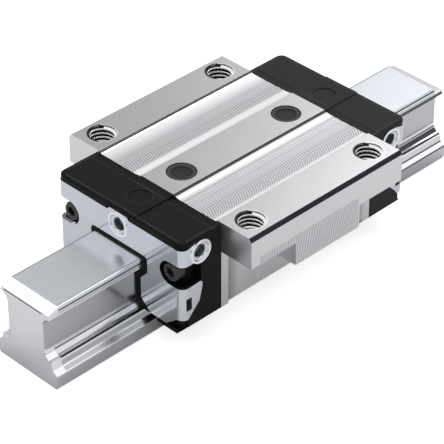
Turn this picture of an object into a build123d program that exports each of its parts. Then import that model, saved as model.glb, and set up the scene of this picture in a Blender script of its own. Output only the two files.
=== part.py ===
from build123d import *

import os
from math import sqrt

# A flanged ball runner block on a profiled guide rail, size 25, at rest in the middle of the rail.
# Millimetres. +X runs along the rail, +Y across it and +Z up. The origin is the centre of the rail's foot.
# "Front" is the -X end and "left" the +Y side.

# Guide rail: the profile, from the foot up
rail_length = 152.0
rail_foot_width = 23.0
rail_foot_side = 4.4  # height of the upright side of the foot
rail_foot_chamfer = 0.5
rail_shoulder_width = 19.8  # width across the step above the foot
rail_shoulder_height = 5.5
rail_height = 23.95  # bare rail, without the cover strip
rail_head_width = 18.6
rail_web_width = 13.8

# Fixing holes of the rail
rail_hole_pitch = 60.0
rail_hole_count = 3
rail_hole_diameter = 7.0
rail_counterbore_diameter = 11.0
rail_counterbore_floor = 14.3

# Cover strip: spring steel, clipped over the head, its ends bent down over the bevelled head
strip_thickness = 0.3
strip_lip_height = 2.2
strip_corner_radius = 0.6
strip_inner_radius = 0.3
strip_bevel_length = 3.4
strip_bevel_drop = 1.3

# Balls, in four rows that touch rail and insert at 45 degrees
ball_diameter = 4.762
track_conformity = 0.52  # track radius as a share of the ball diameter
running_gap = 0.02  # between a ball and either of its tracks
lower_row_height = 10.3
row_spread = 8.75  # from the lower to the upper row
balls_per_row = 11
ball_pitch = 4.9
flats = 8  # faces around what is round but never seen: balls, their return, shanks and bores

# Steel carriage block
block_length = 57.8
carriage_height = 36.0
flange_width = 70.0
flange_thickness = 9.4
flange_chamfer = 1.0
block_width = 48.0
block_underside = 6.1  # free height between the foot's plane and the block
block_bottom_chamfer = 2.3
channel_top_gap = 1.05  # over the cover strip
channel_corner_chamfer = 0.7
channel_width = 24.4
end_land_length = 2.6  # full-width land at each end of the relieved sides
side_relief_depth = 0.8
centre_strip_width = 12.4
flange_pad_inner = 22.55  # half-distance between the ground flange pads
trough_step = 0.2  # height of its upright edges
trough_depth = 0.6
trough_inner_curve = 3.2  # width of the hollow curve beside the centre strip
trough_outer_curve = 1.2  # and beside the flange pad
lobe_length = 24.6  # deeper middle part of each flange
lobe_underside = 19.4
lobe_fillet = 6.5

# Holes of the carriage block
bolt_spacing_x = 45.0
bolt_edge_distance = 6.5  # from the hole's axis to the flange's edge
bolt_hole_diameter = 8.0
centre_bore_spacing = 40.0
centre_bore_diameter = 6.8
plug_bore_diameter = 8.5
plug_bore_depth = 3.0
plug_sink = 0.15
plug_disc_diameter = 5.6
plug_disc_sink = 0.35

# Hardened inserts with the block-side tracks
insert_back = 14.5  # distance of the insert's back from the middle plane
insert_nose = 8.6
insert_bottom = 8.65
insert_top = 20.75

# Ball return
return_offset = 8.8  # from the loaded row to its return bore
tube_bore = 5.0
tube_wall = 0.5
guide_end_margin = 3.2  # of the return guide beyond each row
guide_gap = 0.05

# Plastic retainers and longitudinal seals
retainer_gap = 0.15
retainer_rail_gap = 0.45
middle_retainer_thickness = 0.9
side_seal_thickness = 0.95
seal_gap = 0.1  # between any rubber lip and the rail

# Opening of the end pieces around the rail
opening_top_gap = 0.9
opening_side_gap = 1.5
opening_waist_gap = 1.25
opening_corner_radius = 1.2
opening_waist_rise = 0.5  # lower end of its waist above the lower row
opening_waist_drop = 1.7  # upper end of its waist below the upper row
opening_head_rise = 1.1
opening_flare_drop = 2.6
opening_flare_gap = 0.0
opening_foot_reach = 2.65

# End caps
carriage_length = 86.2
cap_top_drop = 0.5  # below the ground top of the block
cap_corner_radius = 2.4
cap_top_chamfer = 0.4
cap_front_setback = 0.1  # behind the front of the threaded plate
cap_band_rise = 0.25
cap_band_width = 11.8
cap_ledge = 2.7  # rear strip of the cap's top that stays low
cap_ledge_step = 0.2
membrane_radius = 3.5
membrane_depth = 0.3
membrane_position = 35.25

# Threaded end plate, bent from sheet
plate_thickness = 1.0
plate_bend_radius = 2.1
plate_top_drop = 2.1  # below the cap's top
plate_fit = 0.12
plate_bump_height = 0.9
plate_bump_width = 8.4
plate_bump_slope = 45.0  # of its two ends, in degrees
plate_foot = 7.6
plate_foot_half = 17.8
plate_shoulder = 10.9
lower_tab_rear = 35.8
lower_tab_rise = 0.2
lower_tab_upright = 1.75  # length of its upright rear edge
lower_tab_lean = 1.1
lower_tab_radius = 0.9
catch_slot_length = 1.9
catch_slot_height = 3.9
catch_slot_position = 40.65
catch_slot_drop = 8.9  # below the cap screw
collar_width = 0.55
collar_rise = 0.35

# End seal
seal_thickness = 1.7
seal_lip_reach = 0.15  # in front of the threaded plate
seal_flange = 2.0
seal_plate_gap = 0.1

# Fasteners
cap_screw_spacing = 38.3
cap_screw_drop = 8.8  # below the plate's top
cap_screw_head_diameter = 5.5
cap_screw_head_height = 3.0
cap_screw_diameter = 3.0
cap_screw_depth = 8.0  # in the steel block
cap_screw_socket = 2.6
cap_screw_setback = 0.3
cap_screw_socket_depth = 1.4
screw_pocket_radius = 3.55
screw_hole_clearance = 0.05
side_notch_rear = 36.2
side_notch_floor = 21.6
side_notch_step = 0.8
lube_screw_diameter = 6.0
lube_screw_length = 4.5
lube_screw_socket = 3.0
lube_screw_socket_depth = 2.2
port_run_out = 1.5
front_port_drop = 3.0  # below the plate's top
side_port_drop = 2.5
side_port_position = 36.5

# Worked out from the values above
rail_top = rail_height + strip_thickness
ball_radius = ball_diameter / 2
track_radius = track_conformity * ball_diameter
track_shift = (track_radius - ball_radius - running_gap) * sqrt(0.5)
row_offset = rail_web_width / 2 + track_radius - track_shift
upper_row_height = lower_row_height + row_spread
row_heights = {"lower": lower_row_height, "upper": upper_row_height}
channel_top = rail_top + channel_top_gap
return_row = row_offset + return_offset
turn_centre = row_offset + return_offset / 2
block_end = block_length / 2
cap_front = carriage_length / 2 - cap_front_setback
plate_front = carriage_length / 2
plate_back = plate_front - plate_thickness
seal_back = plate_back - seal_thickness
cap_top = carriage_height - cap_top_drop
plate_inner = block_width / 2 - plate_thickness
plate_top = cap_top - plate_top_drop
cap_screw_height = plate_top - cap_screw_drop
front_port_height = plate_top - front_port_drop
side_port_height = plate_top - side_port_drop
bolt_spacing_y = flange_width - 2 * bolt_edge_distance
flange_underside = carriage_height - flange_thickness
relieved_half = block_width / 2 - side_relief_depth
cap_screw_seat = plate_front - cap_screw_setback - cap_screw_head_height
eye_radius = lube_screw_diameter / 2 + collar_width
sides = {"left": 1, "right": -1}
ends = {"front": -1, "rear": 1}

os.makedirs("parts", exist_ok=True)


def save(part, name):
    """Labels a finished piece and writes its STEP file."""
    part.label = name
    export_step(part, f"parts/{name}.step")


def save_both_ends(part, name):
    """Writes the front piece, and its mirror image for the rear end."""
    save(part, f"{name}_front")
    save(mirror(part, about=Plane.YZ), f"{name}_rear")


def save_both_sides(part, name):
    """Writes the left piece, and its mirror image for the right side."""
    save(part, f"{name}_left")
    save(mirror(part, about=Plane.XZ), f"{name}_right")


# Profile of the rail
lower_track = (row_offset + track_shift, lower_row_height + track_shift)
upper_track = (row_offset + track_shift, upper_row_height - track_shift)
web = rail_web_width / 2
strip_foot = rail_top - strip_lip_height
foot = rail_foot_width / 2
head = rail_head_width / 2
shoulder = rail_shoulder_width / 2
track_foot = (lower_track[0], lower_track[1] - track_radius)
head_rim = (head, upper_track[1] + sqrt(track_radius**2 - (upper_track[0] - head) ** 2))


def head_section(top, half, radius):
    """Upper end of the head's profile with rounded edges."""
    with BuildSketch() as section:
        with Locations((0, (top + strip_foot) / 2)):
            Rectangle(2 * half, top - strip_foot)
        fillet(section.vertices().group_by(Axis.Y)[-1], radius)
    return section.sketch


def rail_section():
    """The rail's profile up to the strip's lower edge: the corners of its waist are the four ball tracks."""
    with BuildSketch() as section:
        with BuildLine():
            edge = Polyline(
                (0, 0),
                (foot - rail_foot_chamfer, 0),
                (foot, rail_foot_chamfer),
                (foot, rail_foot_side),
                (shoulder, rail_shoulder_height),
                track_foot,
            )
            low = RadiusArc(edge @ 1, (web, lower_track[1]), track_radius)
            rise = Line(low @ 1, (web, upper_track[1]))
            high = RadiusArc(rise @ 1, head_rim, track_radius)
            Polyline(high @ 1, (head, strip_foot), (0, strip_foot), (0, 0))
        make_face()
        mirror(about=Plane.YZ)
    return section.sketch


def bevelled_side(top):
    """Side view of everything below the bevelled top of the rail's head."""
    half = rail_length / 2
    with BuildSketch() as section:
        with BuildLine():
            Polyline(
                (-half, 0),
                (half, 0),
                (half, top - strip_bevel_drop),
                (half - strip_bevel_length, top),
                (-half + strip_bevel_length, top),
                (-half, top - strip_bevel_drop),
                close=True,
            )
        make_face()
    return section.sketch


# Guide rail: hardened steel, with a bevelled head at both ends and counterbored fixing holes
with BuildPart() as guide_rail:
    with BuildSketch(Plane.YZ):
        add(rail_section())
        add(head_section(rail_height, head - strip_thickness, strip_inner_radius))
    extrude(amount=rail_length / 2, both=True)
    with BuildSketch(Plane.XZ):
        add(bevelled_side(rail_height))
    extrude(amount=rail_foot_width, both=True, mode=Mode.INTERSECT)
    with Locations((0, 0, rail_height)):
        with GridLocations(rail_hole_pitch, 0, rail_hole_count, 1):
            CounterBoreHole(
                rail_hole_diameter / 2,
                rail_counterbore_diameter / 2,
                rail_height - rail_counterbore_floor,
            )
save(guide_rail.part, "guide_rail")


# Cover strip: sheet wrapped over the head, hollow underneath
with BuildPart() as strip_inside:
    with BuildSketch(Plane.YZ):
        add(head_section(rail_height, head - strip_thickness, strip_inner_radius))
    extrude(amount=rail_length / 2, both=True)
    with BuildSketch(Plane.XZ):
        add(bevelled_side(rail_height))
    extrude(amount=rail_foot_width, both=True, mode=Mode.INTERSECT)
with BuildPart() as cover_strip:
    with BuildSketch(Plane.YZ):
        add(head_section(rail_top, head, strip_corner_radius))
    extrude(amount=rail_length / 2, both=True)
    with BuildSketch(Plane.XZ):
        add(bevelled_side(rail_top))
    extrude(amount=rail_foot_width, both=True, mode=Mode.INTERSECT)
    add(strip_inside.part, mode=Mode.SUBTRACT)
save(cover_strip.part, "rail_cover_strip")


def block_section(half_width):
    """The block below its flanges, chamfered along the bottom edges."""
    with BuildSketch() as section:
        with Locations((0, (flange_underside + block_underside) / 2)):
            Rectangle(2 * half_width, flange_underside - block_underside)
        chamfer(section.vertices().group_by(Axis.Y)[0], block_bottom_chamfer)
    return section.sketch


def trough_section():
    """Shallow hollow between the centre strip and a flange pad, on both sides."""
    inner = centre_strip_width / 2
    outer = flange_pad_inner
    floor = carriage_height - trough_depth
    edge = carriage_height - trough_step
    with BuildSketch() as section:
        with BuildLine():
            bottom = Line((inner + trough_inner_curve, floor), (outer - trough_outer_curve, floor))
            TangentArc(bottom @ 0, (inner, edge), tangent=(-1, 0))
            TangentArc(bottom @ 1, (outer, edge), tangent=(1, 0))
            Polyline((inner, edge), (inner, carriage_height), (outer, carriage_height), (outer, edge))
        make_face()
        mirror(about=Plane.YZ)
    return section.sketch


# Steel block: flanges and lobes, side lands, top troughs, channel, and its bores
with BuildPart() as carriage_body:
    with BuildSketch(Plane.YZ) as block_profile:
        with Locations((0, carriage_height - flange_thickness / 2)):
            Rectangle(flange_width, flange_thickness)
        chamfer(block_profile.vertices().group_by(Axis.Y)[-1], flange_chamfer)
        add(block_section(relieved_half))
    extrude(amount=block_end, both=True)
    with BuildSketch(Plane.YZ.offset(block_end), Plane.YZ.offset(end_land_length - block_end)):
        add(block_section(block_width / 2))
    extrude(amount=-end_land_length)
    with BuildSketch(Plane.XY.offset(lobe_underside)) as lobes:
        Rectangle(block_length, 2 * relieved_half)
        Rectangle(lobe_length, flange_width)
        roots = lobes.vertices().group_by(lambda corner: abs(corner.Y))[0]
        fillet(roots.group_by(lambda corner: abs(corner.X))[0], lobe_fillet)
    extrude(amount=flange_underside - lobe_underside)
    with BuildSketch(Plane.YZ):
        add(trough_section())
    extrude(amount=block_end, both=True, mode=Mode.SUBTRACT)
    with BuildSketch(Plane.YZ) as channel:
        with Locations((0, channel_top / 2)):
            Rectangle(channel_width, channel_top)
        chamfer(channel.vertices().group_by(Axis.Y)[-1], channel_corner_chamfer)
        with Locations((0, (insert_top + insert_bottom) / 2)):
            Rectangle(2 * insert_back, insert_top - insert_bottom)
    extrude(amount=block_end, both=True, mode=Mode.SUBTRACT)
    with BuildSketch(Plane.YZ):
        with Locations(*[(side * return_row, row) for side in (1, -1) for row in row_heights.values()]):
            RegularPolygon(tube_bore / 2 + tube_wall, flats, major_radius=False)
    extrude(amount=block_end, both=True, mode=Mode.SUBTRACT)
    with BuildSketch(Plane.YZ.offset(block_end), Plane.YZ.offset(-block_end)):
        with Locations((0, cap_screw_height)):
            with GridLocations(cap_screw_spacing, 0, 2, 1):
                RegularPolygon(cap_screw_diameter / 2, flats)
    extrude(amount=cap_screw_depth, both=True, mode=Mode.SUBTRACT)
    with Locations((0, 0, carriage_height)):
        with GridLocations(bolt_spacing_x, bolt_spacing_y, 2, 2):
            Hole(bolt_hole_diameter / 2)
        with GridLocations(centre_bore_spacing, 0, 2, 1):
            CounterBoreHole(centre_bore_diameter / 2, plug_bore_diameter / 2, plug_bore_depth)
save(carriage_body.part, "carriage_body")


# Hardened inserts: one on each side, with a track above and a track below its nose
insert_track = row_offset - track_shift
lower_arc_height = lower_row_height - track_shift
upper_arc_height = upper_row_height + track_shift
with BuildPart() as race_insert:
    with BuildSketch(Plane.YZ):
        with BuildLine():
            edge = Polyline(
                (insert_nose, upper_arc_height - track_radius),
                (insert_nose, lower_arc_height + track_radius),
                (insert_track, lower_arc_height + track_radius),
            )
            low = RadiusArc(
                edge @ 1,
                (insert_track + track_radius, lower_arc_height),
                track_radius,
            )
            back = Polyline(
                low @ 1,
                (insert_track + track_radius, insert_bottom),
                (insert_back, insert_bottom),
                (insert_back, insert_top),
                (insert_track + track_radius, insert_top),
                (insert_track + track_radius, upper_arc_height),
            )
            high = RadiusArc(
                back @ 1,
                (insert_track, upper_arc_height - track_radius),
                track_radius,
            )
            Line(high @ 1, edge @ 0)
        make_face()
    extrude(amount=block_end, both=True)
save_both_sides(race_insert.part, "race_insert")


# One ball in flat faces: three crossed bars, whose corners lie on the ball's surface where it rolls
with BuildPart() as ball:
    with BuildSketch(Plane.XY):
        RegularPolygon(ball_radius, flats)
    extrude(amount=ball_radius, both=True)
    for plane in (Plane.YZ, Plane.XZ):
        with BuildSketch(plane):
            RegularPolygon(ball_radius, flats)
        extrude(amount=ball_radius, both=True, mode=Mode.INTERSECT)


# Balls under load and the tubes that bring them back, one of each for every row
for side, sign in sides.items():
    for row, height in row_heights.items():
        with BuildPart() as ball_row:
            with Locations((0, sign * row_offset, height)):
                with GridLocations(ball_pitch, 0, balls_per_row, 1):
                    add(ball.part)
        save(ball_row.part, f"ball_row_{row}_{side}")
        with BuildPart() as return_tube:
            with BuildSketch(Plane.YZ):
                with Locations((sign * return_row, height)):
                    RegularPolygon(tube_bore / 2 + tube_wall, flats, major_radius=False)
                    RegularPolygon(tube_bore / 2, flats, major_radius=False, mode=Mode.SUBTRACT)
            extrude(amount=block_end, both=True)
        save(return_tube.part, f"return_tube_{row}_{side}")


def retainer(inner, outer, bottom, top):
    """A plastic bar beside the ball rows, hollowed where the balls pass."""
    with BuildPart() as bar:
        with BuildSketch(Plane.YZ):
            with Locations(((inner + outer) / 2, (bottom + top) / 2)):
                Rectangle(outer - inner, top - bottom)
            with Locations(*[(row_offset, row) for row in row_heights.values()]):
                Circle(ball_radius + retainer_gap, mode=Mode.SUBTRACT)
        extrude(amount=block_end, both=True)
    return bar.part


# Ball retainers: a bar above, between and below the rows of each side
channel_side = channel_width / 2
seal_top = block_underside + side_seal_thickness
upper_retainer = retainer(
    head + retainer_rail_gap,
    channel_side,
    insert_top,
    channel_top - channel_corner_chamfer,
)
middle_retainer = retainer(
    insert_nose - middle_retainer_thickness,
    insert_nose,
    lower_row_height + ball_radius / 2,
    upper_row_height - ball_radius / 2,
)
lower_retainer = retainer(shoulder + retainer_rail_gap, channel_side, seal_top, insert_bottom)
save_both_sides(upper_retainer, "ball_retainer_upper")
save_both_sides(middle_retainer, "ball_retainer_middle")
save_both_sides(lower_retainer, "ball_retainer_lower")

# Longitudinal seals: rubber strips that close the channel's mouth beside the rail's shoulder
with BuildPart() as side_seal:
    with BuildSketch(Plane.YZ):
        with BuildLine():
            Polyline(
                (channel_side, block_underside),
                (channel_side, seal_top),
                (shoulder + retainer_rail_gap, seal_top),
                (shoulder + seal_gap, block_underside + side_seal_thickness / 2),
                (shoulder + seal_gap, block_underside),
                close=True,
            )
        make_face()
    extrude(amount=block_end, both=True)
save_both_sides(side_seal.part, "side_seal")


# Plugs of the two centre holes: a rim and a slightly sunk disc
for end, place in ends.items():
    with BuildPart() as plug:
        with BuildSketch(Plane.XY.offset(carriage_height - plug_bore_depth)):
            with Locations((place * centre_bore_spacing / 2, 0)):
                Circle(plug_bore_diameter / 2)
        extrude(amount=plug_bore_depth - plug_sink)
        with BuildSketch(Plane.XY.offset(carriage_height - plug_sink)):
            with Locations((place * centre_bore_spacing / 2, 0)):
                Circle(plug_disc_diameter / 2)
        extrude(amount=-plug_disc_sink, mode=Mode.SUBTRACT)
    save(plug.part, f"centre_hole_plug_{end}")


def opening_section():
    """Outline that the end cap, the end seal and the end plate leave open around the rail."""
    with BuildSketch() as section:
        with BuildLine():
            Polyline(
                (0, 0),
                (foot + opening_foot_reach, 0),
                (foot + opening_foot_reach, plate_foot),
                (foot + opening_flare_gap, lower_row_height - opening_flare_drop),
                (web + opening_waist_gap, lower_row_height + opening_waist_rise),
                (web + opening_waist_gap, upper_row_height - opening_waist_drop),
                (head + opening_side_gap, upper_row_height + opening_head_rise),
                (head + opening_side_gap, rail_top + opening_top_gap),
                (0, rail_top + opening_top_gap),
                close=True,
            )
        make_face()
        mirror(about=Plane.YZ)
        fillet(section.vertices().group_by(Axis.Y)[-1], opening_corner_radius)
    return section.sketch


def covered_rail_section():
    """The rail's profile together with its cover strip."""
    with BuildSketch() as section:
        add(rail_section())
        add(head_section(rail_top, head, strip_corner_radius))
    return section.sketch


def seal_section(grow):
    """The opening's outline grown outwards and cut off level with the foot of the end plate."""
    with BuildSketch() as section:
        add(offset(opening_section(), amount=grow, kind=Kind.INTERSECTION))
        with Locations((0, plate_foot / 2 - block_underside)):
            Rectangle(flange_width, plate_foot + 2 * block_underside, mode=Mode.SUBTRACT)
    return section.sketch


def plate_plan(front, half_width, radius):
    """Plan view of a bent end plate's outside or inside."""
    with BuildSketch() as section:
        with Locations(((-front - block_end) / 2, 0)):
            Rectangle(front - block_end, 2 * half_width)
        fillet(section.vertices().group_by(Axis.X)[0], radius)
    return section.sketch


def plate_side():
    """Side view of the end plate: the front, and the two tabs that wrap around each side."""
    bend = plate_front - plate_bend_radius
    pocket_top = cap_screw_height + screw_pocket_radius
    pocket_bottom = cap_screw_height - screw_pocket_radius
    tab_top = pocket_bottom + lower_tab_rise
    tab_knee = tab_top - lower_tab_upright
    with BuildSketch() as section:
        with BuildLine():
            Polyline(
                (-bend, pocket_bottom),
                (-lower_tab_rear, tab_top),
                (-lower_tab_rear, tab_knee),
                (-lower_tab_rear - lower_tab_lean, (tab_knee + plate_shoulder) / 2),
                (-bend, plate_shoulder),
                close=True,
            )
        make_face()
        fillet(section.vertices().group_by(Axis.X)[-1].sort_by(Axis.Y)[-1], lower_tab_radius)
        with BuildLine():
            Polyline(
                (-bend, pocket_top),
                (-bend, plate_top),
                (-side_port_position, side_port_height + eye_radius),
                (-side_port_position, pocket_top),
                close=True,
            )
        make_face()
        with Locations((-side_port_position, side_port_height)):
            Circle(eye_radius)
        with Locations((-bend, plate_foot)):
            Rectangle(2 * plate_bend_radius, plate_top - plate_foot, align=(Align.MAX, Align.MIN))
        with Locations((-catch_slot_position, cap_screw_height - catch_slot_drop)):
            Rectangle(catch_slot_length, catch_slot_height, mode=Mode.SUBTRACT)
    return section.sketch


def plate_face():
    """Front view of the end plate, open around the rail and around both screw pockets."""
    half = block_width / 2
    with BuildSketch() as section:
        with BuildLine():
            Polyline(
                (0, plate_foot),
                (plate_foot_half, plate_foot),
                (half - plate_bend_radius, plate_shoulder),
                (half, plate_shoulder),
                (half, carriage_height),
                (0, carriage_height),
                close=True,
            )
        make_face()
        mirror(about=Plane.YZ)
        add(opening_section(), mode=Mode.SUBTRACT)
        with Locations((0, cap_screw_height)):
            with GridLocations(cap_screw_spacing, 0, 2, 1):
                Circle(screw_pocket_radius, mode=Mode.SUBTRACT)
    return section.sketch


def turn_section(radius):
    """Plan view of one wall of a ball turn, in flats that touch a circle of this radius."""
    with BuildSketch() as section:
        RegularPolygon(radius, flats, major_radius=False, rotation=180 / flats)
    return section.sketch


# Planes of the three lubrication ports of an end, facing outwards
front_port = Plane((-plate_front, 0, front_port_height), x_dir=(0, 1, 0), z_dir=(-1, 0, 0))
side_ports = {
    side: Plane(
        (-side_port_position, sign * block_width / 2, side_port_height),
        x_dir=(1, 0, 0),
        z_dir=(0, sign, 0),
    )
    for side, sign in sides.items()
}


# Room for the bent plate on an end cap: the plate's outline with a small clearance
with BuildPart() as plate_room:
    with BuildSketch(Plane.XZ):
        add(offset(plate_side(), amount=plate_fit, kind=Kind.INTERSECTION))
    extrude(amount=block_width, both=True)
    with BuildSketch(Plane.XY):
        add(plate_plan(plate_back - plate_fit, plate_inner - plate_fit, plate_bend_radius - plate_thickness))
    extrude(amount=carriage_height, mode=Mode.SUBTRACT)


# End cap: the outside, with a low ledge at the back, a raised band and a thin round membrane on top
cap_shoulder = cap_top - cap_band_rise
cap_length = cap_front - block_end
turn_radius = return_offset / 2
turn_planes = [Plane.XY.offset(row - tube_bore / 2) for row in row_heights.values()]
guide_bottom = lower_row_height - guide_end_margin
guide_height = row_spread + 2 * guide_end_margin
with BuildPart() as end_cap:
    with BuildSketch(Plane.YZ.offset(-block_end)) as cap_outline:
        with Locations((0, (cap_shoulder + block_underside) / 2)):
            Rectangle(block_width, cap_shoulder - block_underside)
        chamfer(cap_outline.vertices().group_by(Axis.Y)[0], block_bottom_chamfer)
    extrude(amount=-cap_length)
    fillet(end_cap.edges().filter_by(Axis.Z).group_by(Axis.X)[0], cap_corner_radius)
    rim = end_cap.faces().sort_by(Axis.Z)[-1].edges().sort_by(Axis.X)
    chamfer(rim[:-1], cap_top_chamfer)
    with Locations((-block_end, 0, cap_shoulder)):
        Box(
            2 * cap_ledge,
            block_width,
            2 * cap_ledge_step,
            mode=Mode.SUBTRACT,
        )
    with Locations((-block_end, 0, cap_top)):
        Box(
            cap_length - cap_top_chamfer,
            cap_band_width,
            2 * cap_band_rise + cap_ledge_step,
            align=(Align.MAX, Align.CENTER, Align.MAX),
        )
    with BuildSketch(Plane.XY.offset(cap_top)):
        with Locations((-membrane_position, 0)):
            Circle(membrane_radius)
    extrude(amount=-membrane_depth, mode=Mode.SUBTRACT)
    # Opening for the rail, room for the seal and for the bent plate
    with BuildSketch(Plane.YZ.offset(-block_end)):
        add(opening_section())
    extrude(amount=-cap_length, mode=Mode.SUBTRACT)
    with BuildSketch(Plane.YZ.offset(-seal_back)):
        add(seal_section(seal_flange + plate_fit))
    extrude(amount=-seal_thickness, mode=Mode.SUBTRACT)
    add(plate_room.part, mode=Mode.SUBTRACT)
    with BuildSketch(Plane.YZ.offset(-plate_back + plate_fit)):
        with Locations((0, plate_top)):
            Rectangle(
                plate_bump_width + 2 * plate_fit,
                plate_bump_height + plate_fit,
                align=(Align.CENTER, Align.MIN),
            )
    extrude(amount=-2 * plate_thickness, mode=Mode.SUBTRACT)
    with BuildSketch(front_port, *side_ports.values()):
        RegularPolygon(lube_screw_diameter / 2 + screw_hole_clearance, flats, major_radius=False)
    extrude(amount=-(lube_screw_length + port_run_out), mode=Mode.SUBTRACT)
    # Screw pockets, open to the sides, and the screw holes behind them
    with BuildSketch(Plane.YZ.offset(-cap_screw_seat)):
        with Locations((0, cap_screw_height)):
            with GridLocations(cap_screw_spacing, 0, 2, 1):
                Circle(screw_pocket_radius)
            with GridLocations(block_width, 0, 2, 1):
                Rectangle(block_width - cap_screw_spacing, 2 * screw_pocket_radius)
    extrude(amount=-cap_length, mode=Mode.SUBTRACT)
    for sign in sides.values():
        with Locations((-side_notch_rear, sign * side_notch_floor, cap_screw_height)):
            Box(
                cap_length,
                flange_width,
                2 * screw_pocket_radius - side_notch_step,
                align=(Align.MAX, Align.MIN if sign > 0 else Align.MAX, Align.CENTER),
                mode=Mode.SUBTRACT,
            )
    with BuildSketch(Plane.YZ.offset(-block_end)):
        with Locations((0, cap_screw_height)):
            with GridLocations(cap_screw_spacing, 0, 2, 1):
                RegularPolygon(cap_screw_diameter / 2 + screw_hole_clearance, flats)
    extrude(amount=-cap_length, mode=Mode.SUBTRACT)
    # Ball turns: room for the guides, and the outer half of each turn
    with BuildSketch(Plane.XY.offset(guide_bottom)):
        with Locations((-block_end, turn_centre), (-block_end, -turn_centre)):
            add(turn_section(turn_radius))
    extrude(amount=guide_height, mode=Mode.SUBTRACT)
    with BuildSketch(*turn_planes):
        with Locations((-block_end, turn_centre), (-block_end, -turn_centre)):
            add(turn_section(turn_radius + tube_bore / 2))
    extrude(amount=tube_bore, mode=Mode.SUBTRACT)
save_both_ends(end_cap.part, "end_cap")


# Return guides: half-round pieces with the inner half of both turns of one side
for side, sign in sides.items():
    with BuildPart() as return_guide:
        with BuildSketch(Plane.XY.offset(guide_bottom)):
            with Locations((-block_end, sign * turn_centre)):
                add(turn_section(turn_radius - guide_gap))
                Rectangle(
                    2 * turn_radius,
                    2 * turn_radius,
                    align=(Align.MIN, Align.CENTER),
                    mode=Mode.SUBTRACT,
                )
        extrude(amount=guide_height)
        with BuildSketch(*turn_planes):
            with Locations((-block_end, sign * turn_centre)):
                add(turn_section(turn_radius + tube_bore / 2))
                add(turn_section(turn_radius - tube_bore / 2), mode=Mode.SUBTRACT)
        extrude(amount=tube_bore, mode=Mode.SUBTRACT)
        with BuildSketch(Plane.YZ.offset(-block_end)):
            add(opening_section())
        extrude(amount=-cap_length, mode=Mode.SUBTRACT)
    save(return_guide.part, f"return_guide_{side}_front")
    save(mirror(return_guide.part, about=Plane.YZ), f"return_guide_{side}_rear")


# End seal: a flange clamped behind the end plate, and a lip that fills the plate's opening around the rail
with BuildPart() as end_seal:
    with BuildSketch(Plane.YZ.offset(-seal_back)):
        add(seal_section(seal_flange))
    extrude(amount=-seal_thickness)
    with BuildSketch(Plane.YZ.offset(-plate_back)):
        add(seal_section(-seal_plate_gap))
    extrude(amount=-(plate_thickness + seal_lip_reach))
    with BuildSketch(Plane.YZ.offset(-seal_back)):
        add(offset(covered_rail_section(), amount=seal_gap, kind=Kind.TANGENT))
    extrude(amount=-cap_length, mode=Mode.SUBTRACT)
save_both_ends(end_seal.part, "end_seal")


# End plate: sheet bent around the cap's front corners, with collars for the three port screws
with BuildPart() as end_plate:
    with BuildSketch(Plane.XY.offset(plate_foot)):
        add(plate_plan(plate_front, block_width / 2, plate_bend_radius))
        add(
            plate_plan(plate_back, plate_inner, plate_bend_radius - plate_thickness),
            mode=Mode.SUBTRACT,
        )
    extrude(amount=carriage_height - plate_foot)
    with BuildSketch(Plane.XZ):
        add(plate_side())
    extrude(amount=block_width, both=True, mode=Mode.INTERSECT)
    with BuildSketch(Plane.YZ.offset(-block_end)):
        add(plate_face())
    extrude(amount=-2 * cap_length, mode=Mode.INTERSECT)
    with BuildSketch(Plane.YZ.offset(plate_bend_radius - plate_front)):
        with Locations((0, cap_screw_height)):
            with GridLocations(cap_screw_spacing, 0, 2, 1):
                Circle(screw_pocket_radius)
            with GridLocations(block_width, 0, 2, 1):
                Rectangle(block_width - cap_screw_spacing, 2 * screw_pocket_radius)
    extrude(amount=-plate_bend_radius, mode=Mode.SUBTRACT)
    with BuildSketch(Plane.YZ.offset(-plate_back)):
        with Locations((0, plate_top)):
            Trapezoid(plate_bump_width, plate_bump_height, plate_bump_slope, align=(Align.CENTER, Align.MIN))
    extrude(amount=-plate_thickness)
    with BuildSketch(front_port, *side_ports.values()):
        Circle(eye_radius)
    extrude(amount=collar_rise)
    with BuildSketch(*[port.offset(collar_rise) for port in (front_port, *side_ports.values())]):
        Circle(lube_screw_diameter / 2)
    extrude(amount=-(plate_thickness + collar_rise), mode=Mode.SUBTRACT)
save_both_ends(end_plate.part, "end_plate")


# Screws that hold both end pieces
for side, sign in sides.items():
    with BuildPart() as cap_screw:
        with BuildSketch(Plane.YZ.offset(-cap_screw_seat)):
            with Locations((sign * cap_screw_spacing / 2, cap_screw_height)):
                Circle(cap_screw_head_diameter / 2)
        extrude(amount=-cap_screw_head_height)
        with BuildSketch(Plane.YZ.offset(-cap_screw_seat)):
            with Locations((sign * cap_screw_spacing / 2, cap_screw_height)):
                RegularPolygon(cap_screw_diameter / 2, flats)
        extrude(amount=cap_screw_seat - block_end + cap_screw_depth)
        with BuildSketch(Plane.YZ.offset(-cap_screw_seat - cap_screw_head_height)):
            with Locations((sign * cap_screw_spacing / 2, cap_screw_height)):
                RegularPolygon(cap_screw_socket / 2, 6, major_radius=False)
        extrude(amount=cap_screw_socket_depth, mode=Mode.SUBTRACT)
    save(cap_screw.part, f"cap_screw_{side}_front")
    save(mirror(cap_screw.part, about=Plane.YZ), f"cap_screw_{side}_rear")


def port_screw(plane):
    """A short set screw that closes a lubrication port, its socket facing out of the plane."""
    with BuildPart() as screw:
        with BuildSketch(plane):
            Circle(lube_screw_diameter / 2)
        extrude(amount=-lube_screw_length)
        with BuildSketch(plane):
            RegularPolygon(lube_screw_socket / 2, 6, major_radius=False)
        extrude(amount=-lube_screw_socket_depth, mode=Mode.SUBTRACT)
    return screw.part


# Port screws: one in the middle of each end and one on each side of it
save_both_ends(port_screw(front_port), "port_screw_centre")
for side, port in side_ports.items():
    save_both_ends(port_screw(port), f"port_screw_{side}")
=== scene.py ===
"""A flanged ball runner block on a profiled guide rail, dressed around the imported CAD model, in metres."""

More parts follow.
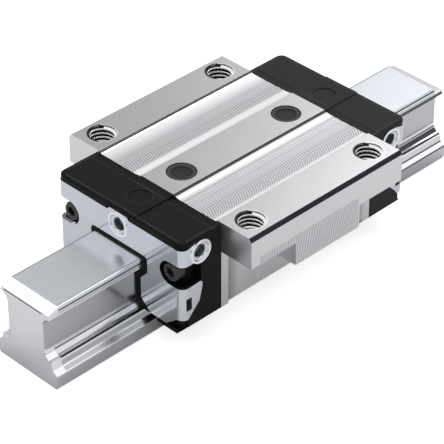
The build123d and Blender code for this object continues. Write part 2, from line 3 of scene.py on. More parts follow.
import bmesh
import bpy
from math import cos, pi, sin
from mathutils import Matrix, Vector


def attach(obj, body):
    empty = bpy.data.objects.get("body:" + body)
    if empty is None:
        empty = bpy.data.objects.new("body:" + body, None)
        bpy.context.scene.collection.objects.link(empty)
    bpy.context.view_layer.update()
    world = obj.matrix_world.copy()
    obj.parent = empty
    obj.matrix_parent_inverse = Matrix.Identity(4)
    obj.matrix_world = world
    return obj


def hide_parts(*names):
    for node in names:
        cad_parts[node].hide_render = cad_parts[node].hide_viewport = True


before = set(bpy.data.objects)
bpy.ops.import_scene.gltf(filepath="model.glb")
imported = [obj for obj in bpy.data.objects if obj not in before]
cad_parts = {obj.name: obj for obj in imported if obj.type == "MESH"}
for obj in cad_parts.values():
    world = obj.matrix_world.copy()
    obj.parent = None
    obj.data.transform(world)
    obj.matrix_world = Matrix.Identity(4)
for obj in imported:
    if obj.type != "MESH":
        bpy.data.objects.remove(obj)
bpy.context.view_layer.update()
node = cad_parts
MM = 0.001

# The photographer's camera: a long lens, three quarters from above, at the front right of the guide.
# It looks down by about 36 degrees, and its place was solved from the block's own hole pattern.
camera_place = (-0.372326, -0.370556, 0.386972)
camera_aim = (-0.010948, -0.006146, 0.018)
lens_data = bpy.data.cameras.new("camera")
lens_data.sensor_width = 36.0
lens_data.lens = 189.05
lens_data.clip_start = 0.05
lens_data.clip_end = 20.0
camera = bpy.data.objects.new("camera", lens_data)
camera.location = camera_place
sight = Vector(camera_aim) - Vector(camera_place)
camera.rotation_euler = sight.to_track_quat("-Z", "Y").to_euler()
bpy.context.scene.collection.objects.link(camera)
bpy.context.scene.camera = camera


class Signal:
    """The output of a shader node. Arithmetic on it adds Math nodes to its finish."""

    def __init__(self, finish, socket):
        self.finish = finish
        self.socket = socket

    def math(self, operation, *values):
        return self.finish.node("ShaderNodeMath", {"operation": operation}, values)

    def __add__(self, other):
        return self.math("ADD", self, other)

    def __sub__(self, other):
        return self.math("SUBTRACT", self, other)

    def __rsub__(self, other):
        return self.math("SUBTRACT", other, self)

    def __mul__(self, other):
        return self.math("MULTIPLY", self, other)

    def __gt__(self, other):
        return self.math("GREATER_THAN", self, other)

    def __lt__(self, other):
        return self.math("LESS_THAN", self, other)

    def __abs__(self):
        return self.math("ABSOLUTE", self)

    __radd__ = __add__
    __rmul__ = __mul__

    def wave(self):
        """A sine of this value."""
        return self.math("SINE", self)

    def root(self):
        return self.math("SQRT", self)

    def radius(self, other):
        """The distance from an axis, of this value and the one at right angles to it."""
        return (self * self + other * other).root()

    def ramp(self, start, end, first, last):
        """A smooth change from one value to another between two places."""
        return self.finish.node(
            "ShaderNodeMapRange", {"interpolation_type": "SMOOTHSTEP"}, (self, start, end, first, last)
        )

    def between(self, low, high, soft):
        """1 between two limits, falling to 0 over the soft width outside them."""
        return self.ramp(low - soft, low, 0.0, 1.0) * self.ramp(high, high + soft, 1.0, 0.0)


class Finish:
    """A material in the making, on a Principled surface, measured in the millimetres of the part."""

    def __init__(self, name, tree=None):
        if tree is None:
            self.material = bpy.data.materials.new(name)
            self.material.use_nodes = True
            tree = self.material.node_tree
            self.surface = tree.nodes["Principled BSDF"]
        self.tree = tree

    def node(self, kind, settings=None, sockets=(), out=0):
        """Adds a node: its settings first, then the values or links of its sockets."""
        made = self.tree.nodes.new(kind)
        for key, value in (settings or {}).items():
            if key == "stops":
                for index, (place, shade) in enumerate(value):
                    stop = made.color_ramp.elements
                    mark = stop[index] if index < len(stop) else stop.new(place)
                    mark.position = place
                    mark.color = (*shade, 1.0)
            else:
                setattr(made, key, value)
        pairs = sockets.items() if isinstance(sockets, dict) else enumerate(sockets)
        for key, value in pairs:
            self.feed(made.inputs[key], value)
        return Signal(self, made.outputs[out])

    def feed(self, socket, value):
        """Links a signal to a socket, or sets the socket's own value."""
        if isinstance(value, Signal):
            self.tree.links.new(value.socket, socket)
        else:
            socket.default_value = value

    def place(self):
        """The point on the part in millimetres, as three signals."""
        spot = self.node("ShaderNodeTexCoord", out="Object")
        scaled = self.node("ShaderNodeVectorMath", {"operation": "SCALE"}, {0: spot, "Scale": 1 / MM})
        return scaled, *self.split(scaled)

    def split(self, vector):
        parts = self.node("ShaderNodeSeparateXYZ", sockets=(vector,))
        outputs = parts.socket.node.outputs
        return [Signal(self, outputs[index]) for index in range(3)]

    def facing(self):
        """The three parts of the surface's direction."""
        return self.split(self.node("ShaderNodeNewGeometry", out="True Normal"))

    def grain(self, spot, stretch, detail=2.0):
        """Noise between 0 and 1 around 0.5, stretched by a factor along each axis, in millimetres."""
        pulled = self.node(
            "ShaderNodeVectorMath", {"operation": "MULTIPLY"}, (spot, tuple(1 / s for s in stretch))
        )
        return self.node("ShaderNodeTexNoise", sockets={"Vector": pulled, "Scale": 1.0, "Detail": detail})

    def blend(self, amount, first, second):
        """A colour between two colours."""
        return self.node(
            "ShaderNodeMix",
            {"data_type": "RGBA"},
            {0: amount, 6: self.colour(first), 7: self.colour(second)},
            out=2,
        )

    @staticmethod
    def colour(value):
        return value if isinstance(value, Signal) else (*value, 1.0)

    def relief(self, height, depth):
        """A Bump node: height times depth in millimetres."""
        sockets = {"Height": height, "Distance": depth * MM, "Strength": 1.0}
        return self.node("ShaderNodeBump", sockets=sockets)

    def set(self, **values):
        """Feeds the surface's sockets by their names, written with underscores."""
        for key, value in values.items():
            self.feed(self.surface.inputs[key.replace("_", " ")], value)
        return self

    def dress(self, *pieces):
        """Gives the finish to pieces."""
        for piece in pieces:
            piece.data.materials.clear()
            piece.data.materials.append(self.material)


# The studio: a plain pale floor that runs out of the picture, and a soft light tent around it.
# A dark strip runs along the horizon and a graded panel stands behind, which give the steel its tones.
bpy.context.scene.view_settings.view_transform = "Standard"
black = (0.0, 0.0, 0.0)
white = (1.0, 1.0, 1.0)
floor_half = 0.9
floor_white = (0.80, 0.80, 0.80)
floor_blue_white = (0.80, 0.80, 0.81)
floor_shadow_colour = (0.52, 0.52, 0.53)
bpy.ops.mesh.primitive_plane_add(size=2 * floor_half, location=(0.0, 0.0, 0.0))
floor = bpy.context.object
floor.name = "floor"
floor_paint = Finish("floor_paint")
floor_x, floor_y = floor_paint.place()[1:3]
# the camera sees the floor lifted to the white of the backdrop, with the guide's shadow still on it
floor_seen = floor_paint.node("ShaderNodeLightPath", out="Is Camera Ray")
floor_mirrored = floor_paint.node("ShaderNodeLightPath", out="Is Glossy Ray")
# painted shadow: in the steel the floor is mirrored darker close around the rail, where little light gets in
painted_contact_shadow = abs(floor_x).between(0.0, 68.0, 20.0) * abs(floor_y).between(0.0, 12.0, 9.0)
floor_grey = floor_paint.blend(painted_contact_shadow, floor_blue_white, floor_shadow_colour)
floor_paint.set(
    Base_Color=floor_paint.blend(floor_mirrored, floor_white, floor_grey),
    Roughness=0.9,
    Specular_IOR_Level=0.1,
    Emission_Color=floor_paint.blend(floor_seen, black, white),
    Emission_Strength=0.66,
)
floor_paint.dress(floor)

tent = bpy.data.worlds.new("tent")
tent.use_nodes = True
bpy.context.scene.world = tent
tent_paint = Finish("tent", tent.node_tree)
tent_x, tent_y, tent_z = tent_paint.split(tent_paint.node("ShaderNodeTexCoord", out="Generated"))
tent_shade = tent_paint.node(
    "ShaderNodeValToRGB",
    {
        "stops": [
            (0.0, (0.50, 0.50, 0.50)),
            (0.46, (0.50, 0.50, 0.50)),
            (0.49, (0.14, 0.145, 0.155)),
            (0.53, (0.14, 0.145, 0.155)),
            (0.58, (0.96, 0.965, 0.98)),
            (0.85, (0.97, 0.975, 0.985)),
            (1.0, white),
        ]
    },
    (tent_z * 0.5 + 0.5,),
)
panel_ahead = tent_x * 0.69 + tent_y * 0.72
panel_aside = tent_x * 0.72 - tent_y * 0.69
panel = panel_ahead.between(0.70, 1.2, 0.10) * tent_z.between(0.47, 0.67, 0.07)
panel_level = (
    panel_aside.ramp(-0.03, 0.085, 0.16, 0.96)
    + panel_aside.ramp(-0.15, -0.05, 0.62, 0.0)
    + panel_aside.ramp(-0.24, -0.14, 0.22, 0.0)
)
panel_light = tent_paint.node(
    "ShaderNodeCombineXYZ",
    sockets=(panel_level, panel_level, panel_level * 1.02),
)
tent_colour = tent_paint.blend(panel, tent_shade, panel_light)
tent_seen = tent_paint.node("ShaderNodeLightPath", out="Is Camera Ray")
tent_paint.feed(
    tent.node_tree.nodes["Background"].inputs["Color"],
    tent_paint.blend(tent_seen, tent_colour, white),
)

# one square lamp with a diffuser, turned towards the middle of the rail
softbox_data = bpy.data.lights.new("key_softbox", "AREA")
softbox_data.shape = "SQUARE"
softbox_data.size = 0.50
softbox_data.energy = 1.2
softbox = bpy.data.objects.new("key_softbox", softbox_data)
softbox.location = (0.50, 0.14, 0.70)
softbox.rotation_euler = (-softbox.location).to_track_quat("-Z", "Y").to_euler()
bpy.context.scene.collection.objects.link(softbox)


# Guide rail: a drawn and hardened steel bar whose feet, head and four ball tracks are ground.
# The grinding leaves fine lines along it, over a duller drawn web. The bright bands beside its edges are
# painted highlights.
rail_end_zone = 72.7
rail_near_end = 75.9
web_face = 6.5
foot_height = 4.2
slope_low = 4.66
slope_high = 5.3
shoulder_high = 6.95
track_low = 7.5
web_low = 10.7
web_high = 21.2
head_low = 21.3
strip_lip_low = 21.95
mark_soft = 0.05
highlight_white = (0.96, 0.96, 0.97)
reflection_dark = (0.03, 0.03, 0.035)
rail_steel = Finish("ground_rail_steel")
spot, along, across, up = rail_steel.place()
off_axis = abs(across)
rail_lines = rail_steel.grain(spot, (60.0, 0.12, 0.12), detail=3.0)
rail_cloud = rail_steel.grain(spot, (9.0, 5.0, 5.0))
rail_tone = rail_lines * 0.7 + rail_cloud * 0.3
rail_grey = rail_steel.blend(rail_tone, (0.68, 0.685, 0.70), (0.82, 0.825, 0.84))
# painted dark reflections darken the edges and the lower track towards the rear end
rearward = along.ramp(-45.0, 45.0, 0.0, 1.0)
# the drawn web is duller in itself; the shoulder and foot slope get painted shade that fades towards the
# rear end
drawn_web = up.between(web_low, web_high, 0.25) * (off_axis > 6.0)
shoulder_side = up.between(5.8, shoulder_high, 0.2) * (off_axis > 9.3)
foot_slope = up.between(slope_low, slope_high - 0.05, 0.06) * (off_axis > 9.8) * 1.3
dull_web_and_slope_shade = (drawn_web + (shoulder_side + foot_slope) * (1 - rearward)) * (abs(along) < rail_near_end)
foot_edges = (
    up.between(slope_high + 0.05, slope_high + 0.3, mark_soft)
    + up.between(foot_height, foot_height + 0.3, mark_soft)
    + up.between(head_low, strip_lip_low, 0.1)
)
# painted highlights: bright lines along the edges of the head, tracks, web and foot, towards the front end
edge_highlights = (
    up.between(web_low - 0.55, web_low - 0.1, 0.08)
    + up.between(track_low - 0.4, track_low, 0.08)
    + foot_edges * (1 - rearward)
) * (abs(along) < rail_near_end) * (off_axis > web_face)
# painted highlight on the foot slope, growing towards the rear end
rear_slope_highlight = up.between(slope_low, slope_high, 0.06) * (off_axis > 9.8) * rearward
# painted highlight on the rail's sides close to each end
end_highlights = along.between(-rail_near_end, -rail_end_zone, mark_soft)
end_highlights = end_highlights * up.between(slope_low - 0.11, web_low - 0.1, mark_soft)
# painted dark reflections: a line along the track's lower edge and two bands inside the track
track_edge = off_axis.between(8.95, 9.42, mark_soft) * up.between(7.7, 8.0, 0.02)
track_reflection_bands = up.between(9.3, 9.6, 0.06) + up.between(8.1, 8.22, 0.04)
track_reflection_bands = track_reflection_bands * (off_axis < 9.0) * (off_axis > web_face)
# the foot's side gets a little painted shade
foot_side = (up < foot_height - 0.05) * (off_axis > 11.0)
rail_lit = rail_steel.blend(foot_side * 0.15, rail_grey, (0.34, 0.345, 0.35))
rail_lit = rail_steel.blend(dull_web_and_slope_shade, rail_lit, (0.56, 0.565, 0.58))
# the cover strip stands off the end face by a hair, and the gap gets a painted shadow
strip_gap = (abs(along) > rail_near_end) * up.between(22.3, 22.8, 0.08) * across.between(-6.4, 7.8, 0.5)
rail_lit = rail_steel.blend(strip_gap, rail_lit, (0.015, 0.015, 0.017))
rail_lit = rail_steel.blend(track_reflection_bands, rail_lit, (0.22, 0.225, 0.235))
track_dark_reflection = up.between(8.2, 9.0, 0.1) * (off_axis > 7.2) * (off_axis < 9.6)
web_dark_reflection = up.between(web_low - 0.1, web_low + 0.15, mark_soft) * (off_axis > web_face)
rear_dark_reflections = (track_dark_reflection + foot_edges + web_dark_reflection) * rearward * 0.95
rail_lit = rail_steel.blend(track_edge + rear_dark_reflections, rail_lit, reflection_dark)
rail_steel.set(
    Base_Color=rail_steel.blend(edge_highlights + end_highlights + rear_slope_highlight, rail_lit, highlight_white),
    Metallic=1.0,
    Roughness=rail_lines * 0.10 + 0.15,
    Normal=rail_steel.relief(rail_lines, 0.002),
)
rail_steel.dress(node["guide_rail"])


# Cover strip: spring steel 0.3 mm thick, rolled smooth, clipped over the head and bent down at its ends.
# It keeps the mounting holes clean. Two dark lines are painted along each lip, and one beside each top edge,
# as painted reflections, the lower one as the shadow under the lip.
lip_face = 9.2
strip_top = 24.2
strip_steel = Finish("rolled_strip_steel")
spot, along, across, up = strip_steel.place()
off_axis = abs(across)
strip_lines = strip_steel.grain(spot, (80.0, 0.25, 0.25))
strip_cloud = strip_steel.grain(spot, (14.0, 9.0, 9.0))
strip_grey = strip_steel.blend(strip_cloud, (0.77, 0.79, 0.83), (0.82, 0.84, 0.88))
rearward = along.ramp(-60.0, 40.0, 0.0, 1.0)
# painted dark lines: reflections along the lip and beside each top edge, and the shadow under the lip
lip_reflection_lines = (
    off_axis.between(8.62, 8.82, mark_soft) * (up > strip_top)
    + up.between(22.8, 23.3, 0.08) * (off_axis > lip_face) * (1 - rearward * 0.7)
    + up.between(21.9, 22.2, 0.06) * (off_axis > lip_face)
) * (abs(along) < rail_end_zone)
# the lip's sides get painted shade
lip_side = (off_axis > 9.4) * (up < 23.6)
lip_glint = up.between(22.3, 22.6, 0.08) * (off_axis > lip_face) * (abs(along) < rail_near_end)
# the bent-down ends get a painted highlight
end_bevel_highlight = (abs(along) > rail_end_zone - 0.08) * (up > 22.9) * (up < strip_top + 0.03)
strip_shaded = strip_steel.blend(lip_side * 0.2, strip_grey, (0.44, 0.45, 0.47))
# painted dark reflections run along the lip's two edges, stronger towards the rear end
rear_dark_reflections = up.between(strip_top - 0.35, strip_top, mark_soft) + up.between(21.9, 22.55, mark_soft)
rear_dark_reflections = rear_dark_reflections * (off_axis > 9.0) * rearward
reflection_line_colour = strip_steel.blend(rearward, (0.17, 0.175, 0.19), reflection_dark)
strip_shaded = strip_steel.blend(lip_reflection_lines + rear_dark_reflections, strip_shaded, reflection_line_colour)
strip_steel.set(
    Base_Color=strip_steel.blend(lip_glint * (1 - rearward) + end_bevel_highlight, strip_shaded, white),
    Metallic=1.0,
    Roughness=strip_lines * 0.05 + 0.24,
    Normal=strip_steel.relief(strip_lines, 0.0004),
)
strip_steel.dress(node["rail_cover_strip"])


# Carriage block: hardened steel, its top milled hollow between three ground pads, its flanges milled
# on their outer faces in slanted flutes. The flanges' upper chamfers keep the dark skin of hardening.
hole_along = 22.5
hole_across = 28.5
lead_in_low = 34.3
hole_shadow = (0.02, 0.02, 0.021)
flange_side_shade = (0.36, 0.36, 0.37)


def hole_place(along, across):
    """The distance from the nearest flange hole's axis, and how far a point lies to the left of it."""
    from_hole = (abs(along) - hole_along).radius(abs(across) - hole_across)
    hole_x = (along > 0) * (2 * hole_along) - hole_along
    hole_y = hole_across - (across < 0) * (2 * hole_across)
    return from_hole, across - hole_y - (along - hole_x)


block_steel = Finish("milled_block_steel")
spot, along, across, up = block_steel.place()
face_x, face_y, face_z = block_steel.facing()
off_axis = abs(across)
side_face = abs(face_y) > 0.9
block_cloud = block_steel.grain(spot, (10.0, 8.0, 8.0))
ground_lines = block_steel.grain(spot, (40.0, 0.10, 0.10))
# milled troughs: two crossing families of arcs, from a cutter about as wide as the trough
cutter_radius = 8.6
cutter_step = 0.84
trough_inner = 6.25
trough_middle = 14.4
trough_outer = 22.5
hatch_inner = 9.9
hatch_outer = 20.6
off_middle = off_axis - trough_middle
cutter_reach = (cutter_radius**2 - off_middle * off_middle).root()
arcs_ahead = ((along - cutter_reach) * (2 * pi / cutter_step)).wave()
arcs_behind = ((along + cutter_reach) * (2 * pi / cutter_step)).wave()
trough = (off_axis > trough_inner) * (off_axis < trough_outer) * (up < 35.85) * (up > 34.0) * (face_z > 0.5)
milled_flat = off_axis.between(hatch_inner, hatch_outer, 0.6) * trough
hatch = (arcs_ahead + arcs_behind * 0.6) * milled_flat
hatch_fade = across.between(-21.0, -hatch_inner, 0.6) + across.between(9.4, 15.5, 4.5)
hatch_cut = (hatch * 0.44 + 0.26) * milled_flat * hatch_fade
# the cutter leaned a little, so each trough is dished. A painted sheen lightens a band in each trough,
# painted shade darkens the right trough's inner curve, and the walls that face right get painted shade
trough_dish = off_middle * off_middle * ((across > 0) * 0.08 + 0.12) * trough
trough_sheen = across.between(6.5, 9.2, 0.5) + across.between(-trough_outer, -20.9, 0.3)
inner_curve_shade = across.between(-hatch_inner, -6.4, 0.5) * 0.6 + across.between(-7.3, -6.2, 0.7) * 0.4
shade_lines = across.between(-6.95, -6.2, 0.04) + across.between(22.05, trough_outer, 0.04)
step_walls = (side_face * (off_axis < 22.8) + shade_lines) * (up > 35.0)
# flutes on the outer faces of the flanges, under an uneven upper limit
flute_step = 1.02
flute_lean = 0.18
flute_top = block_steel.grain(spot, (1.2, 1.2, 1.2)) * 0.7 + 28.8
flutes = ((along - up * flute_lean) * (2 * pi / flute_step)).wave()
fluted = (off_axis > 34.9) * side_face * (up < flute_top) * along.between(-25.4, 11.6, 0.5)
flange_side = side_face * (off_axis > 34.0)
dark_chamfer = (abs(face_y) > 0.5) * (face_z > 0.5) * (off_axis > 33.5)
# the sides are relieved between two end lands and get a painted shade; the front land's step leaves a
# painted shade behind it, and the rear land's wall gets a painted highlight
relief_face = 23.5
block_side = side_face * (off_axis < 24.5) * (up < 26.5)
land_shade = along.ramp(-26.3, -21.0, 0.56, 0.0) + along.between(-26.2, -25.5, 0.2) * 0.18
land_shade = land_shade * (off_axis < relief_face) * block_side
rear_land_highlight = (face_x < -0.9) * off_axis.between(relief_face - 0.4, relief_face + 0.6, 0.05) * (along > 20.0)
# drilled walls of the four flange holes, behind their threads, painted dark as shadow
from_hole, leftward = hole_place(along, across)
hole_wall = (from_hole < 4.1) * (up < 35.97) * (up > 26.7)
# the top of each drilled wall, above its thread, is smooth and gets a painted reflection of the sky in two
# places
lead_in_reflection = (leftward.between(-5.7, -0.2, 0.2) + leftward.between(1.9, 3.6, 0.2)) * (up > lead_in_low)
# each hole's rim is lightly countersunk, with one half in the light and one in the shade
countersink = from_hole.between(4.0, 4.34, 0.04) * (up > 35.9)
sink_shade = countersink * (leftward > 1.2)
sink_light = countersink * (leftward < 0.6)
hole_dark = hole_wall + step_walls * 0.95 + sink_shade * 0.9
block_tone = block_cloud * 0.45 + ground_lines * 0.14 + 0.205
block_lit = block_steel.blend(block_tone, (0.68, 0.685, 0.69), (0.80, 0.80, 0.805))
block_lit = block_steel.blend(trough, block_lit, (0.80, 0.805, 0.815))
block_lit = block_steel.blend(trough_sheen * trough, block_lit, white)
block_lit = block_steel.blend(inner_curve_shade * trough, block_lit, (0.42, 0.425, 0.43))
block_lit = block_steel.blend(hatch_cut, block_lit, (0.20, 0.205, 0.22))
block_lit = block_steel.blend((flutes * 0.36 + 0.29) * fluted, block_lit, (0.26, 0.265, 0.28))
block_lit = block_steel.blend(block_side * 0.27, block_lit, (0.31, 0.31, 0.32))
block_lit = block_steel.blend(land_shade, block_lit, (0.04, 0.04, 0.042))
block_lit = block_steel.blend(rear_land_highlight, block_lit, white)
# the flanges' outer sides get a little painted shade
block_lit = block_steel.blend(flange_side * 0.10, block_lit, flange_side_shade)
block_lit = block_steel.blend(dark_chamfer, block_lit, (0.026, 0.028, 0.031))
block_lit = block_steel.blend(hole_dark, block_lit, hole_shadow)
block_relief = hatch * 0.25 + flutes * fluted + trough_dish + ground_lines * (1 - trough) * 0.03
block_steel.set(
    Base_Color=block_steel.blend(hole_wall * lead_in_reflection + sink_light, block_lit, white),
    Metallic=1.0,
    Roughness=ground_lines * 0.07 + trough * 0.05 + (abs(face_x) > 0.9) * 0.07 + 0.22,
    Normal=block_steel.relief(block_relief, 0.03),
)
block_steel.dress(node["carriage_body"])


# Threads of the four flange holes: M8, cut with a tap right through each flange.
# Each is one coil whose flat crest stands 0.6 mm inside the drilled wall and runs out at both ends.
thread_pitch = 1.25
thread_root = 3.995
thread_crest = 3.36
thread_top = 35.98
thread_bottom = 26.70
thread_toe = thread_root - 0.04
ridge_rise = 0.90 * thread_pitch
crest_start = 0.30 * thread_pitch
crest_end = 0.58 * thread_pitch
steps_per_turn = 40
runout_steps = 5


def thread_coil(name, hole_x, hole_y):
    """One helical ridge around a hole's wall, closed at both ends."""
    turns = (thread_top - thread_bottom - ridge_rise) / thread_pitch
    steps = int(turns * steps_per_turn)
    mesh = bmesh.new()
    rings = []
    for step in range(steps + 1):
        angle = 2 * pi * step / steps_per_turn
        base = thread_bottom + thread_pitch * step / steps_per_turn
        full = min(1.0, step / runout_steps, (steps - step) / runout_steps)
        crest = thread_toe - (thread_toe - thread_crest) * full
        ring = []
        for radius, rise in (
            (thread_root, 0.03),
            (crest, crest_start),
            (crest, crest_end),
            (thread_root, ridge_rise),
        ):
            ring.append(
                mesh.verts.new(
                    (
                        (hole_x + radius * cos(angle)) * MM,
                        (hole_y + radius * sin(angle)) * MM,
                        (base + rise) * MM,
                    )
                )
            )
        rings.append(ring)
    for first, second in zip(rings, rings[1:]):
        for corner in range(4):
            following = (corner + 1) % 4
            mesh.faces.new((first[corner], second[corner], second[following], first[following]))
    mesh.faces.new(rings[0])
    mesh.faces.new(list(reversed(rings[-1])))
    bmesh.ops.recalc_face_normals(mesh, faces=mesh.faces)
    data = bpy.data.meshes.new(name)
    mesh.to_mesh(data)
    mesh.free()
    coil = bpy.data.objects.new(name, data)
    bpy.context.scene.collection.objects.link(coil)
    return coil


thread_steel = Finish("cut_thread_steel")
spot, along, across, up = thread_steel.place()
from_hole, leftward = hole_place(along, across)
# painted shadow in the thread's roots, left out near the top on one side
thread_root_shadow = (from_hole > thread_crest + 0.16) * (1 - (up > lead_in_low) * (leftward < -0.4))
thread_marks = thread_steel.grain(spot, (0.5, 0.5, 0.12))
thread_crests = thread_steel.blend(thread_marks, (0.80, 0.80, 0.81), (0.95, 0.95, 0.96))
thread_steel.set(
    Base_Color=thread_steel.blend(thread_root_shadow, thread_crests, hole_shadow),
    Metallic=1.0,
    Roughness=thread_marks * 0.08 + 0.14,
)
for end, hole_x in (("front", -hole_along), ("rear", hole_along)):
    for side, hole_y in (("left", hole_across), ("right", -hole_across)):
        coil = thread_coil(f"flange_thread_{side}_{end}", hole_x, hole_y)
        thread_steel.dress(coil)
        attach(coil, "carriage")


# Centre hole plugs: moulded black plastic, pressed in flush, with a raised rim around a sunk disc.
# They keep swarf out of the two middle bores. The rim's edges are chamfered, and the rim gets a painted
# highlight.
round_steps = 48
bore_along = 20.0
plug_foot = 33.0
rim_inner = 3.0
rim_outer = 3.9


def turned(name, rings, origin, axis):
    """A closed body of rings. Each ring is a distance along the axis, a radius, lobes and their depth."""
    forward = Vector(axis)
    first = Vector((0.0, 0.0, 1.0)) if abs(forward.z) < 0.5 else Vector((1.0, 0.0, 0.0))
    second = forward.cross(first)
    mesh = bmesh.new()
    loops = []
    for distance, radius, lobes, swell in rings:
        loop = []
        for step in range(round_steps):
            angle = 2 * pi * step / round_steps
            reach = radius * (1 + swell * cos(lobes * angle))
            point = Vector(origin) + forward * distance
            point += first * (reach * cos(angle)) + second * (reach * sin(angle))
            loop.append(mesh.verts.new(point * MM))
        loops.append(loop)
    for lower, upper in zip(loops, loops[1:]):
        for step in range(round_steps):
            after = (step + 1) % round_steps
            mesh.faces.new((lower[step], lower[after], upper[after], upper[step]))
    mesh.faces.new(loops[0])
    mesh.faces.new(list(reversed(loops[-1])))
    bmesh.ops.recalc_face_normals(mesh, faces=mesh.faces)
    data = bpy.data.meshes.new(name)
    mesh.to_mesh(data)
    mesh.free()
    body = bpy.data.objects.new(name, data)
    bpy.context.scene.collection.objects.link(body)
    return body


plug_plastic = Finish("plug_plastic")
spot, along, across, up = plug_plastic.place()
plug_grain = plug_plastic.grain(spot, (0.25, 0.25, 0.25))
from_bore = (abs(along) - bore_along).radius(across)
# painted highlight on the rim
rim_highlight = from_bore.between(rim_inner, rim_outer, 0.1)
plug_black = plug_plastic.blend(plug_grain, (0.004, 0.004, 0.0045), (0.012, 0.012, 0.013))
plug_plastic.set(
    Base_Color=plug_plastic.blend(rim_highlight * 0.6, plug_black, (0.06, 0.06, 0.063)),
    Roughness=plug_grain * 0.2 + 0.32,
    Specular_IOR_Level=0.22,
    Normal=plug_plastic.relief(plug_grain, 0.01),
)
plug_rings = (
    (0.0, 4.2, 0, 0.0),
    (2.6, 4.25, 0, 0.0),
    (2.85, 4.0, 0, 0.0),
    (2.85, 3.15, 0, 0.0),
    (2.5, 2.8, 0, 0.0),
    (2.5, 1.2, 0, 0.0),
)
for end, bore_x in (("front", -bore_along), ("rear", bore_along)):
    plug = turned(f"bore_plug_{end}", plug_rings, (bore_x, 0.0, plug_foot), (0.0, 0.0, 1.0))
    plug_plastic.dress(plug)
    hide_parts(f"centre_hole_plug_{end}")
    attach(plug, "carriage")


# End caps: glass-filled black plastic, moulded with a fine spark-eroded skin.
# They turn the balls round, hold the seals and lead the grease to the tracks.
ring_along = 35.25
cap_top = 35.0
cap_plastic = Finish("cap_plastic")
spot, along, across, up = cap_plastic.place()
cap_skin = cap_plastic.grain(spot, (0.16, 0.16, 0.16), detail=3.0)
cap_cloud = cap_plastic.grain(spot, (7.0, 7.0, 7.0))
cap_tone = cap_skin * 0.5 + cap_cloud * 0.5
cap_black = cap_plastic.blend(cap_tone, (0.0015, 0.0015, 0.0015), (0.006, 0.006, 0.0063))
reach_x = abs(along)
reach_y = abs(across)
# painted highlights: thin lighter lines on the top's rounded edges and its ring
from_ring = (reach_x - ring_along).radius(across)
cap_highlight_lines = (
    reach_x.between(41.75, 42.0, 0.12) * (reach_y < 21.6)
    + reach_y.between(22.75, 23.0, 0.12) * (reach_x < 40.6)
    + reach_x.between(31.35, 31.6, 0.1)
    + from_ring.between(3.4, 3.62, 0.08) * 0.8
) * (up > cap_top)
# painted light: the rear cap is lighter than the front one
cap_black = cap_plastic.blend((along > 0) * 0.8, cap_black, (0.022, 0.022, 0.0225))
cap_plastic.set(
    Base_Color=cap_plastic.blend(cap_highlight_lines * 0.5, cap_black, (0.055, 0.055, 0.057)),
    Roughness=cap_skin * 0.16 + 0.36,
    Specular_IOR_Level=0.09,
    Normal=cap_plastic.relief(cap_skin, 0.012),
)
cap_plastic.dress(node["end_cap_front"], node["end_cap_rear"])


# End plates: stainless sheet 1 mm thick, bent round the caps' corners and hooked on with side tabs.
# The sheet keeps its rolled shine, with faint lines across the front.
side_port_along = 36.5
side_port_up = 30.9
centre_port_up = 30.4
collar_inner = 2.95
collar_outer = 3.6
plate_steel = Finish("rolled_plate_steel")
spot, along, across, up = plate_steel.place()
plate_lines = plate_steel.grain(spot, (12.0, 30.0, 0.12))
plate_cloud = plate_steel.grain(spot, (8.0, 8.0, 8.0))
from_side = (abs(along) - side_port_along).radius(up - side_port_up)
from_centre = across.radius(up - centre_port_up)
# painted highlights on the collars round the ports
collar_highlights = from_side.between(collar_inner, collar_outer, 0.08) * (abs(across) > 22.0)
collar_highlights += from_centre.between(collar_inner, collar_outer, 0.08) * (abs(across) < 10.0)
plate_grey = plate_steel.blend(plate_cloud, (0.60, 0.62, 0.66), (0.70, 0.72, 0.755))
plate_steel.set(
    Base_Color=plate_steel.blend(collar_highlights, plate_grey, (0.93, 0.94, 0.96)),
    Metallic=1.0,
    Roughness=plate_lines * 0.06 + 0.11,
    Normal=plate_steel.relief(plate_lines, 0.001),
)
plate_steel.dress(node["end_plate_front"], node["end_plate_rear"])


# End and side seals: moulded black rubber whose lips wipe the rail.
# The end seals fill the end plates' openings all round the rail.
seal_rubber = Finish("seal_rubber")
spot = seal_rubber.place()[0]
seal_skin = seal_rubber.grain(spot, (0.3, 0.3, 0.3))
seal_rubber.set(
    Base_Color=seal_rubber.blend(seal_skin, (0.002, 0.002, 0.002), (0.006, 0.006, 0.0065)),
    Roughness=seal_skin * 0.15 + 0.45,
    Specular_IOR_Level=0.1,
    Normal=seal_rubber.relief(seal_skin, 0.01),
)
seal_rubber.dress(
    node["end_seal_front"], node["end_seal_rear"], node["side_seal_left"], node["side_seal_right"]
)


# Cap screws: blackened steel with a six-lobed recess, sunk in the pockets at the plate's corners.
# They clamp each cap to the block.
screw_start = 20.9
screw_across = 19.15
screw_up = 24.6
black_screw = Finish("blackened_screw_steel")
spot = black_screw.place()[0]
screw_skin = black_screw.grain(spot, (0.4, 0.4, 0.4))
black_screw.set(
    Base_Color=black_screw.blend(screw_skin, (0.035, 0.034, 0.036), (0.075, 0.072, 0.075)),
    Metallic=0.7,
    Roughness=screw_skin * 0.15 + 0.3,
)
cap_screw_rings = (
    (0.0, 1.45, 0, 0.0),
    (18.9, 1.5, 0, 0.0),
    (18.9, 2.6, 0, 0.0),
    (19.1, 2.75, 0, 0.0),
    (21.3, 2.75, 0, 0.0),
    (21.75, 2.5, 0, 0.0),
    (21.9, 2.1, 0, 0.0),
    (21.9, 1.55, 6, 0.06),
    (21.7, 1.35, 6, 0.14),
    (20.4, 1.30, 6, 0.14),
    (20.1, 0.6, 0, 0.0),
)
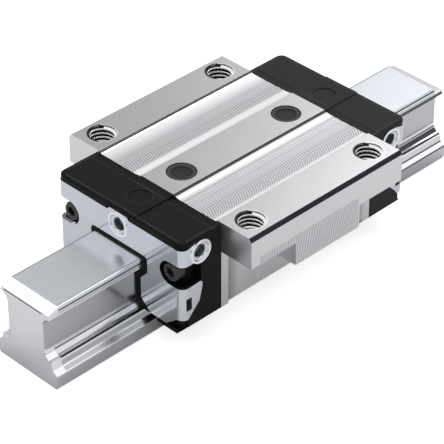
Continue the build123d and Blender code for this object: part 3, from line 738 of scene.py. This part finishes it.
for end, facing_x in (("front", -1.0), ("rear", 1.0)):
    for side, screw_y in (("left", screw_across), ("right", -screw_across)):
        start = (facing_x * screw_start, screw_y, screw_up)
        screw = turned(f"cap_bolt_{side}_{end}", cap_screw_rings, start, (facing_x, 0.0, 0.0))
        black_screw.dress(screw)
        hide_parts(f"cap_screw_{side}_{end}")
        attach(screw, "carriage")


# Port screws: short plated set screws with a hexagon socket that close the six lubrication ports.
# One sits in a collar in the middle of each end plate, the others in the eyes of its side tabs.
port_plating = Finish("port_screw_plating")
spot, along, across, up = port_plating.place()
port_skin = port_plating.grain(spot, (0.5, 0.5, 0.5))
socket_reach = 1.85
socket_wide = 1.98
centre_port_start = 38.6
side_port_start = 19.5
port_rings = (
    (0.0, 2.5, 0, 0.0),
    (0.45, 3.0, 0, 0.0),
    (4.1, 3.0, 0, 0.0),
    (4.5, 2.6, 0, 0.0),
    (4.5, 2.25, 0, 0.0),
    (4.25, socket_reach, 6, 0.068),
    (2.35, socket_reach, 6, 0.068),
    (2.05, 0.7, 0, 0.0),
)
from_side = (abs(along) - side_port_along).radius(up - side_port_up)
from_centre = across.radius(up - centre_port_up)
# painted shade inside the hexagon sockets
in_centre = (abs(across) < 10.0) * (from_centre < socket_wide)
in_side = (abs(across) > 10.0) * (from_side < socket_wide)
port_bright = port_plating.blend(port_skin, (0.66, 0.67, 0.69), (0.84, 0.85, 0.87))
port_plating.set(
    Base_Color=port_plating.blend(in_centre + in_side, port_bright, (0.34, 0.35, 0.37)),
    Metallic=1.0,
    Roughness=port_skin * 0.10 + 0.14,
)
for end, facing_x in (("front", -1.0), ("rear", 1.0)):
    for place, start, axis in (
        ("centre", (facing_x * centre_port_start, 0.0, centre_port_up), (facing_x, 0.0, 0.0)),
        ("left", (facing_x * side_port_along, side_port_start, side_port_up), (0.0, 1.0, 0.0)),
        ("right", (facing_x * side_port_along, -side_port_start, side_port_up), (0.0, -1.0, 0.0)),
    ):
        screw = turned(f"port_plug_{place}_{end}", port_rings, start, axis)
        port_plating.dress(screw)
        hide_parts(f"port_screw_{place}_{end}")
        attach(screw, "carriage")


# Inside the block: hardened inserts, polished balls, and the plastic tubes, bars and guides around them.
# None of it is seen until the block is pulled off the rail.
insert_steel = Finish("ground_insert_steel")
spot = insert_steel.place()[0]
insert_lines = insert_steel.grain(spot, (30.0, 0.15, 0.15))
insert_steel.set(
    Base_Color=insert_steel.blend(insert_lines, (0.50, 0.51, 0.53), (0.64, 0.65, 0.67)),
    Metallic=1.0,
    Roughness=insert_lines * 0.1 + 0.15,
)
insert_steel.dress(node["race_insert_left"], node["race_insert_right"])
ball_steel = Finish("polished_ball_steel")
spot = ball_steel.place()[0]
ball_haze = ball_steel.grain(spot, (0.8, 0.8, 0.8))
ball_steel.set(
    Base_Color=ball_steel.blend(ball_haze, (0.70, 0.70, 0.71), (0.80, 0.80, 0.81)),
    Metallic=1.0,
    Roughness=ball_haze * 0.06 + 0.04,
)
guide_plastic = Finish("guide_plastic")
spot = guide_plastic.place()[0]
guide_grain = guide_plastic.grain(spot, (0.4, 0.4, 0.4))
guide_plastic.set(
    Base_Color=guide_plastic.blend(guide_grain, (0.05, 0.05, 0.055), (0.09, 0.09, 0.095)),
    Roughness=guide_grain * 0.2 + 0.4,
    Normal=guide_plastic.relief(guide_grain, 0.01),
)
for side in ("left", "right"):
    for row in ("upper", "lower"):
        ball_steel.dress(node[f"ball_row_{row}_{side}"])
        guide_plastic.dress(node[f"return_tube_{row}_{side}"])
    for row in ("upper", "middle", "lower"):
        guide_plastic.dress(node[f"ball_retainer_{row}_{side}"])
    for end in ("front", "rear"):
        guide_plastic.dress(node[f"return_guide_{side}_{end}"])
